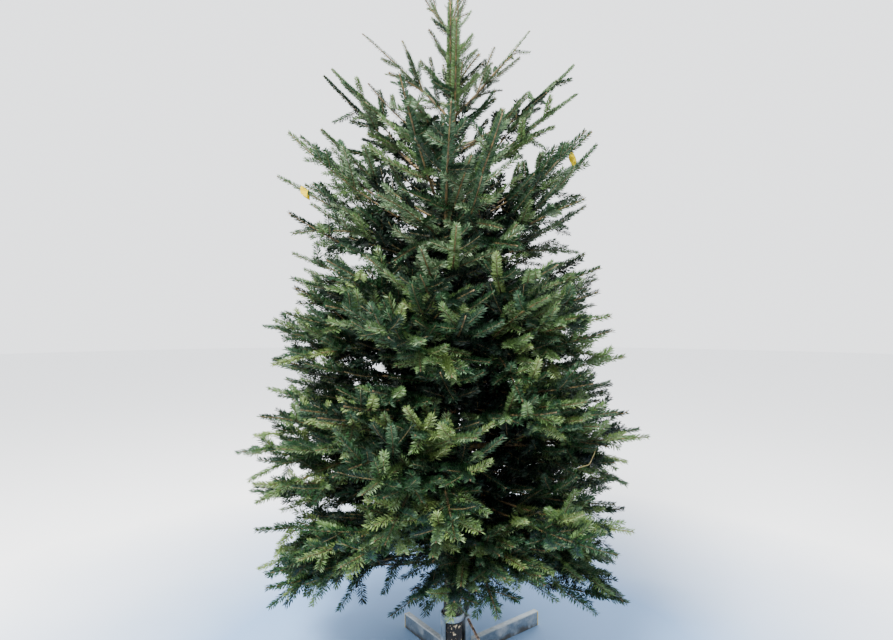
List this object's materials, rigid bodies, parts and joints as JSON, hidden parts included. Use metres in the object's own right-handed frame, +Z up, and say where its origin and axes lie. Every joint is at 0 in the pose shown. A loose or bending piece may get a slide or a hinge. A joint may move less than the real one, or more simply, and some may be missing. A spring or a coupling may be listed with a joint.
{
  "type": "christmas tree in stand",
  "caption": "Tall cut fir tree with a whole tapering trunk, whorls of boughs and needle sprays, a leader on top and a steel cross stand with collar, upright and brace.",
  "frame": {"origin": "on the stand's flat underside, under the middle of the trunk's foot", "axes": "+Z up along the trunk; the viewer stands on the -Y side, with +X to the viewer's right"},
  "size_m": [1.6719, 1.7569, 3.0553],
  "materials": {
    "bark": "rough grey-brown fir bark",
    "needles": "glossy dark green needles, pale underneath",
    "galvanised_steel": "dull galvanised",
    "rusty_steel": "ribbed round bar with a rusty skin",
    "yellow_plastic": "moulded",
    "black_plastic": "moulded"
  },
  "bodies": {
    "root": {"bough_high_1": "bark", "bough_high_2": "bark", "bough_high_3": "bark", "bough_high_4": "bark", "bough_low_1": "bark", "bough_low_2": "bark", "bough_low_3": "bark", "bough_low_4": "bark", "bough_middle_1": "bark", "bough_middle_2": "bark", "bough_middle_3": "bark", "bough_middle_4": "bark", "bough_middle_5": "bark", "bough_wide_1": "bark", "bough_wide_2": "bark", "bough_wide_3": "bark", "bough_wide_4": "bark", "bough_wide_5": "bark", "brace": "rusty_steel", "clamp_knob": "black_plastic", "collar": "galvanised_steel", "cross_arm_back": "galvanised_steel", "cross_arm_front": "galvanised_steel", "cross_bar_long": "galvanised_steel", "end_cap_back": "yellow_plastic", "end_cap_front": "yellow_plastic", "end_cap_left": "yellow_plastic", "end_cap_right": "yellow_plastic", "foliage_crown_1": "needles", "foliage_crown_2": "needles", "foliage_crown_3": "needles", "foliage_crown_4": "needles", "foliage_high_1": "needles", "foliage_high_2": "needles", "foliage_high_3": "needles", "foliage_high_4": "needles", "foliage_leader": "needles", "foliage_low_1": "needles", "foliage_low_2": "needles", "foliage_low_3": "needles", "foliage_low_4": "needles", "foliage_middle_1": "needles", "foliage_middle_2": "needles", "foliage_middle_3": "needles", "foliage_middle_4": "needles", "foliage_middle_5": "needles", "foliage_top_1": "needles", "foliage_top_2": "needles", "foliage_top_3": "needles", "foliage_upper_1": "needles", "foliage_upper_2": "needles", "foliage_upper_3": "needles", "foliage_upper_4": "needles", "foliage_wide_1": "needles", "foliage_wide_2": "needles", "foliage_wide_3": "needles", "foliage_wide_4": "needles", "foliage_wide_5": "needles", "trunk": "bark", "upright": "galvanised_steel"}
  },
  "joints": []
}
